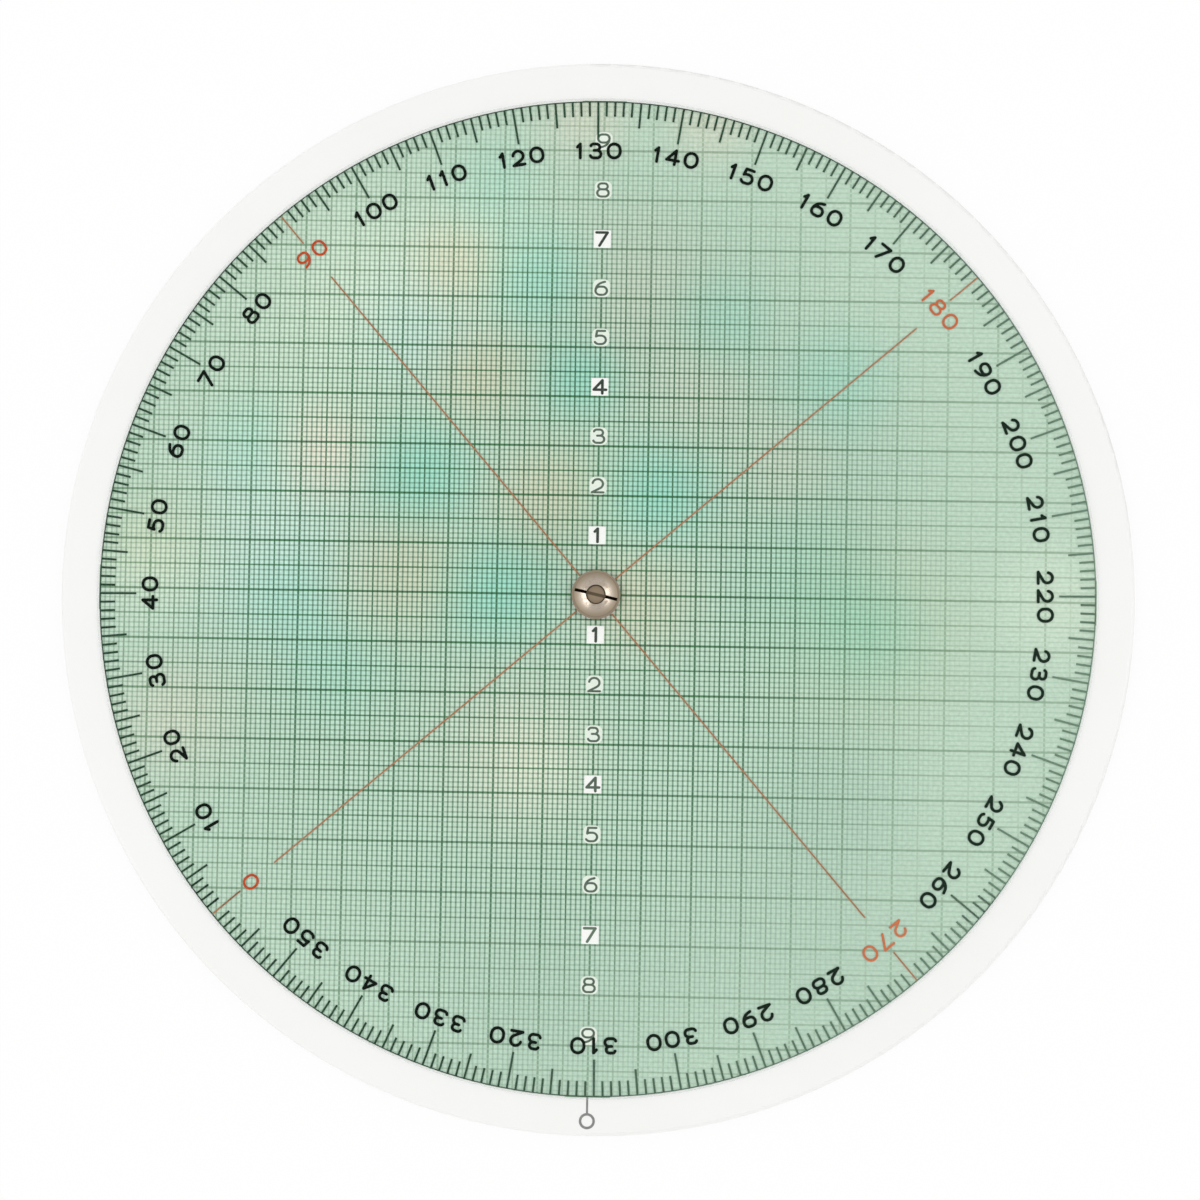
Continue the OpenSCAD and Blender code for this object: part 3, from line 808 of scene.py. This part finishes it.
def degree_numbers():
    """Numbers of the degree scale, on the underside of the clear disc."""
    black = Numerals(DEGREE_NUMBER_HEIGHT, DEGREE_PEN)
    red = Numerals(DEGREE_NUMBER_HEIGHT, QUADRANT_PEN)
    for degree in range(0, 360, 10):
        numerals = black if degree % 90 else red
        numerals.stamp(degree, on_dial(DEGREE_NUMBER_R, degree - PLOT_SETTING, DEGREE_BOTTOM))
    black.piece("degree_numbers", degree_ink, "plotting_disc", "black_ink")
    red.piece("quadrant_numbers", red_ink, "plotting_disc", "red_ink")


def log_angle(value):
    """Degrees from 10 to a value on a log scale of one decade to the turn."""
    return 360 * math.log10(value / 10)


def log_numbers():
    """Numbers of the log scales, which read from behind."""
    fixed, sliding = Numerals(LOG_NUMBER_HEIGHT, LOG_PEN), Numerals(LOG_NUMBER_HEIGHT, LOG_PEN)
    for value in LOG_VALUES:
        fixed.stamp(value, on_dial(FIXED_NUMBER_R, -log_angle(value), BASE_BACK - FILM), mirrored=True)
        angle = log_angle(value) + log_angle(RULE_READING)
        sliding.stamp(value, on_dial(SLIDING_NUMBER_R, -angle, -FILM / 2), mirrored=True)
    fixed.piece("fixed_log_numbers", black_ink, "base", "black_ink")
    sliding.piece("sliding_log_numbers", filled_black, "slide_rule_disc", "black_ink")


tint_film()
millimetre_lines()
index_line_end()
grid_numbers()
degree_numbers()
log_numbers()


# Camera, floor and light

# Surroundings: light of the room, more of it from both sides, and the dark stand of the camera overhead,
# whose reach is a share of its height
ROOM_LIGHT = 0.84
SIDE_LIGHT = 0.3
STAND_LIGHT = 0.1
STAND_REACH = (0.24, 0.34)

# Floor: how far it goes in metres, how far it lies below the object, and the share of it that shines white
FLOOR_REACH = 20
FLOOR_GAP = 0.05 * MM
FLOOR_SHINE = 0.93

# Lamps: place, length and width in metres, and power in watts
LAMPS = {
    "key": ((-1.0, -0.25, 1.9), 1.5, 0.45, 5.5),
    "fill": ((1.0, 0.05, 1.9), 1.8, 0.4, 5),
}


def place_camera():
    """Camera at the viewpoint of the photograph."""
    camera = bpy.data.cameras.new("camera")
    camera.lens = CAMERA_LENS
    camera.clip_start = 10 * MM
    holder = bpy.data.objects.new("camera", camera)
    back = -CAMERA_LOOK.normalized()
    right = CAMERA_UP.cross(back).normalized()
    axes = Matrix((right, back.cross(right), back)).transposed()
    holder.matrix_world = Matrix.Translation(CAMERA_PLACE) @ axes.to_4x4()
    bpy.context.scene.collection.objects.link(holder)
    bpy.context.scene.camera = holder


def studio_floor():
    """White floor that shows white to the eye and in gloss, and keeps a share of the shadow."""
    material, tree, output = new_material("studio_floor_white")
    ray = add(tree, "ShaderNodeLightPath").outputs
    seen = add(tree, "ShaderNodeMath", {0: ray["Is Camera Ray"], 1: ray["Is Glossy Ray"]}).outputs[0]
    rays = {0: seen, 1: ray["Is Transmission Ray"]}
    seen = add(tree, "ShaderNodeMath", rays, use_clamp=True).outputs[0]
    paper = add(tree, "ShaderNodeBsdfDiffuse", {"Color": linear("#F4F4F4")})
    white = add(tree, "ShaderNodeEmission", {"Color": (1, 1, 1, 1), "Strength": 1.0})
    paints = {0: FLOOR_SHINE, 1: paper.outputs[0], 2: white.outputs[0]}
    shaded = add(tree, "ShaderNodeMixShader", paints)
    surface = add(tree, "ShaderNodeMixShader", {0: seen, 1: paper.outputs[0], 2: shaded.outputs[0]})
    tree.links.new(surface.outputs[0], output.inputs["Surface"])
    bm = bmesh.new()
    bmesh.ops.create_grid(bm, x_segments=1, y_segments=1, size=FLOOR_REACH)
    bmesh.ops.translate(bm, verts=bm.verts, vec=(0, 0, cad_box[0].z - FLOOR_GAP))
    mesh = bpy.data.meshes.new("floor")
    bm.to_mesh(mesh)
    bm.free()
    mesh.materials.append(material)
    floor = bpy.data.objects.new("floor", mesh)
    bpy.context.scene.collection.objects.link(floor)


def studio_world():
    """Even white surroundings, with the dark shape of the camera and its stand nearly overhead."""
    world = bpy.data.worlds.new("studio")
    world.use_nodes = True
    tree = world.node_tree
    tree.nodes.clear()
    output = add(tree, "ShaderNodeOutputWorld")
    way = add(tree, "ShaderNodeTexCoord").outputs["Generated"]
    parts = add(tree, "ShaderNodeSeparateXYZ", {0: way}).outputs
    overhead = add(tree, "ShaderNodeVectorMath", {0: way, 1: parts["Z"]}, operation="DIVIDE").outputs[0]
    beside = add(tree, "ShaderNodeVectorMath", {0: overhead, 1: (0, 0, 1)}, operation="DISTANCE")
    side = add(tree, "ShaderNodeMath", {0: parts["X"], 1: parts["X"]}, operation="MULTIPLY")
    lights = {0: side.outputs[0], 1: SIDE_LIGHT, 2: ROOM_LIGHT}
    room = add(tree, "ShaderNodeMath", lights, operation="MULTIPLY_ADD")
    shade = add(
        tree, "ShaderNodeMapRange",
        {
            "Value": beside.outputs["Value"], "From Min": STAND_REACH[0], "From Max": STAND_REACH[1],
            "To Min": STAND_LIGHT, "To Max": room.outputs[0],
        },
        interpolation_type="SMOOTHSTEP",
    )
    light = add(tree, "ShaderNodeBackground", {"Color": (1, 1, 1, 1), "Strength": shade.outputs[0]})
    tree.links.new(light.outputs[0], output.inputs["Surface"])
    bpy.context.scene.world = world


def soft_lamp(name, place, length, width, power):
    """Long soft box that lies level and faces the middle of the object."""
    lamp = bpy.data.lights.new(name, "AREA")
    lamp.shape = "RECTANGLE"
    lamp.size = length
    lamp.size_y = width
    lamp.energy = power
    holder = bpy.data.objects.new(name, lamp)
    spot = Vector(place)
    holder.matrix_world = Matrix.Translation(spot) @ spot.to_track_quat("Z", "Y").to_matrix().to_4x4()
    bpy.context.scene.collection.objects.link(holder)


place_camera()
studio_floor()
studio_world()
for lamp_name, lamp_values in LAMPS.items():
    soft_lamp(lamp_name, *lamp_values)
bpy.context.scene.view_settings.view_transform = "Standard"
